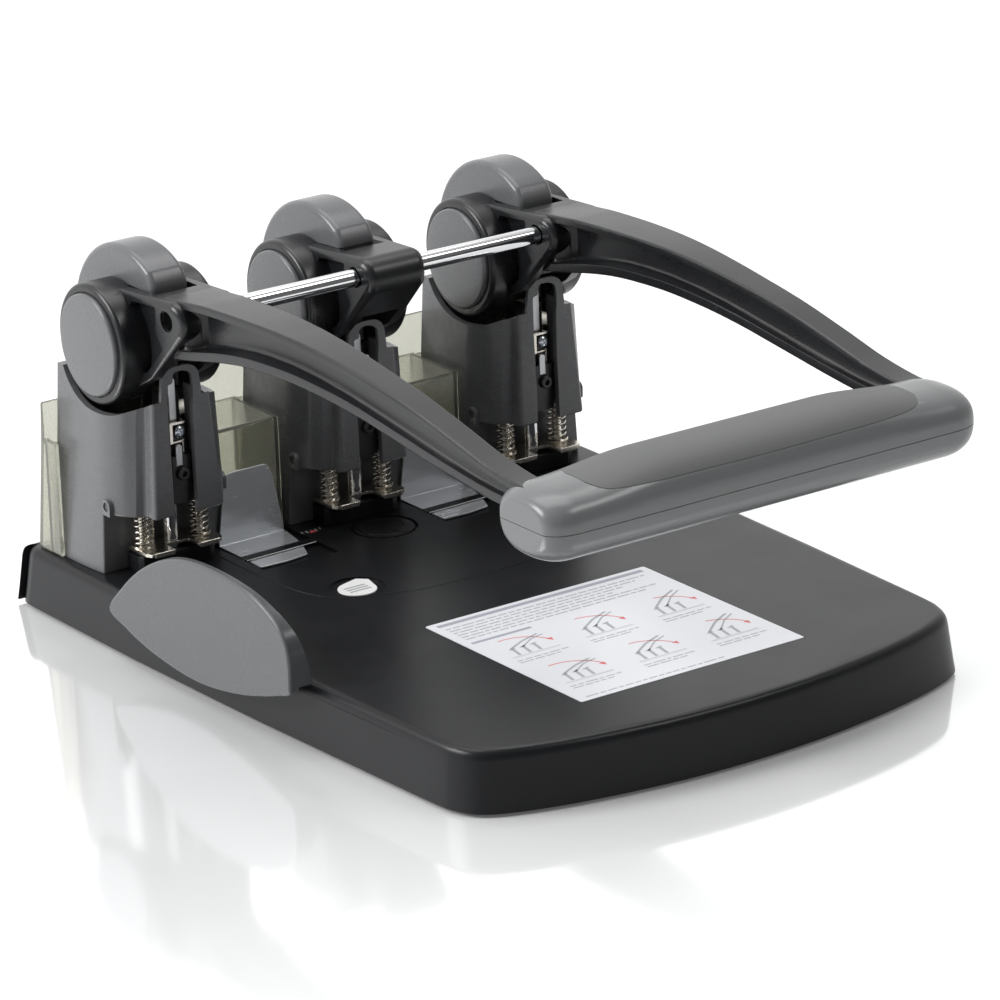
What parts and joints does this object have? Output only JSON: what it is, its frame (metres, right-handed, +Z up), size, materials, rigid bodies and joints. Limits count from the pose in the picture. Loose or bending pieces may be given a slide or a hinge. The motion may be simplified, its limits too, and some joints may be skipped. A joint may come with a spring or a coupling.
{
  "type": "heavy-duty hole punch",
  "caption": "Heavy-duty desk hole punch with a row of upright punch heads on a wide flat base, driven together by one long two-armed handle.",
  "frame": {"origin": "on the table under the middle of the whole object's bounding box", "axes": "+Z up, +X along the row of punch heads to the right, -Y towards the user and the handle"},
  "size_m": [0.3188, 0.419, 0.1912],
  "materials": {
    "black_moulding": "fine spark-eroded texture, semi-matt",
    "black_casting": "satin black paint on die-cast metal",
    "grey_moulding": "satin mid grey",
    "guide_moulding": "satin grey",
    "handle_moulding": "satin light grey",
    "grip_pad": "soft matt grip",
    "nickel_steel": "nickel plated",
    "galvanised_steel": "bright zinc plated",
    "chromed_steel": "polished",
    "dark_steel": "oiled dark steel",
    "smoked_clear": "smoked translucent plastic",
    "foot_rubber": "matt",
    "label": "printed gloss film",
    "badge": "gloss white"
  },
  "bodies": {
    "base": {"base_cover": "black_moulding", "base_floor_plate": "black_moulding", "capacity_badge": "badge", "die_block_centre": "black_moulding", "die_block_left": "black_moulding", "die_block_right": "black_moulding", "dome_cover_centre": "grey_moulding", "dome_cover_left": "grey_moulding", "dome_cover_right": "grey_moulding", "foot_back_left": "foot_rubber", "foot_back_right": "foot_rubber", "foot_front_left": "foot_rubber", "foot_front_right": "foot_rubber", "head_frame_centre": "nickel_steel", "head_frame_left": "nickel_steel", "head_frame_right": "nickel_steel", "instruction_label": "label", "pivot_axle_centre": "chromed_steel", "pivot_axle_left": "chromed_steel", "pivot_axle_right": "chromed_steel", "rear_dust_cover": "smoked_clear", "tower_cover_centre": "grey_moulding", "tower_cover_left": "grey_moulding", "tower_cover_right": "grey_moulding"},
    "lever": {"handle_grip_pad": "grip_pad", "handle_lower_shell": "handle_moulding", "handle_upper_shell": "handle_moulding", "lever_arm_left": "black_casting", "lever_arm_right": "black_casting", "lever_rocker_centre": "black_casting", "pivot_cap_centre_a": "grey_moulding", "pivot_cap_centre_b": "grey_moulding", "pivot_cap_left_a": "grey_moulding", "pivot_cap_left_b": "grey_moulding", "pivot_cap_right_a": "grey_moulding", "pivot_cap_right_b": "grey_moulding", "tie_rod": "chromed_steel"},
    "dial": {"depth_dial": "black_moulding"},
    "stops": {"depth_stop_left": "galvanised_steel", "depth_stop_right": "galvanised_steel"},
    "guide": {"edge_guide": "guide_moulding"},
    "drawer": {"chip_drawer": "black_moulding"},
    "ram_left": {"ram_left": "dark_steel", "punch_pin_left": "chromed_steel", "return_spring_left_a": "nickel_steel", "return_spring_left_b": "nickel_steel"},
    "stripper_left": {"stripper_plate_left": "nickel_steel"},
    "ram_centre": {"ram_centre": "dark_steel", "punch_pin_centre": "chromed_steel", "return_spring_centre_a": "nickel_steel", "return_spring_centre_b": "nickel_steel"},
    "stripper_centre": {"stripper_plate_centre": "nickel_steel"},
    "ram_right": {"ram_right": "dark_steel", "punch_pin_right": "chromed_steel", "return_spring_right_a": "nickel_steel", "return_spring_right_b": "nickel_steel"},
    "stripper_right": {"stripper_plate_right": "nickel_steel"}
  },
  "joints": [
    {"name": "lever_hinge", "type": "hinge", "parent": "base", "child": "lever", "pos_m": [0, 0.1515, 0.1448], "axis": [-1, 0, 0], "range_deg": [0, 70]},
    {"name": "ram_slide_left", "type": "slide", "parent": "base", "child": "ram_left", "axis": [0, 0, 1], "range_m": [0, 0.034]},
    {"name": "stripper_slide_left", "type": "slide", "parent": "ram_left", "child": "stripper_left", "axis": [0, 0, -1], "range_m": [0, 0.016], "deforming": ["return_spring_left_a", "return_spring_left_b"]},
    {"name": "ram_slide_centre", "type": "slide", "parent": "base", "child": "ram_centre", "axis": [0, 0, 1], "range_m": [0, 0.034]},
    {"name": "stripper_slide_centre", "type": "slide", "parent": "ram_centre", "child": "stripper_centre", "axis": [0, 0, -1], "range_m": [0, 0.016], "deforming": ["return_spring_centre_a", "return_spring_centre_b"]},
    {"name": "ram_slide_right", "type": "slide", "parent": "base", "child": "ram_right", "axis": [0, 0, 1], "range_m": [0, 0.034]},
    {"name": "stripper_slide_right", "type": "slide", "parent": "ram_right", "child": "stripper_right", "axis": [0, 0, -1], "range_m": [0, 0.016], "deforming": ["return_spring_right_a", "return_spring_right_b"]},
    {"name": "dial_turn", "type": "hinge", "parent": "base", "child": "dial", "pos_m": [0, 0.1095, 0.03], "axis": [0, 0, 1], "range_deg": [0, 180]},
    {"name": "stop_slide", "type": "slide", "parent": "base", "child": "stops", "axis": [0, -1, 0], "range_m": [0, 0.006]},
    {"name": "guide_slide", "type": "slide", "parent": "base", "child": "guide", "axis": [-1, 0, 0], "range_m": [0, 0.01]},
    {"name": "drawer_slide", "type": "slide", "parent": "base", "child": "drawer", "axis": [1, 0, 0], "range_m": [0, 0.22]}
  ],
  "couplings": [
    {"joint": "ram_slide_left", "follows": "lever_hinge", "m_per_rad": 0.027828},
    {"joint": "stripper_slide_left", "follows": "lever_hinge", "m_per_rad": 0.013095},
    {"joint": "ram_slide_centre", "follows": "lever_hinge", "m_per_rad": 0.027828},
    {"joint": "stripper_slide_centre", "follows": "lever_hinge", "m_per_rad": 0.013095},
    {"joint": "ram_slide_right", "follows": "lever_hinge", "m_per_rad": 0.027828},
    {"joint": "stripper_slide_right", "follows": "lever_hinge", "m_per_rad": 0.013095},
    {"joint": "dial_turn", "follows": "stop_slide", "rad_per_m": 523.5}
  ]
}
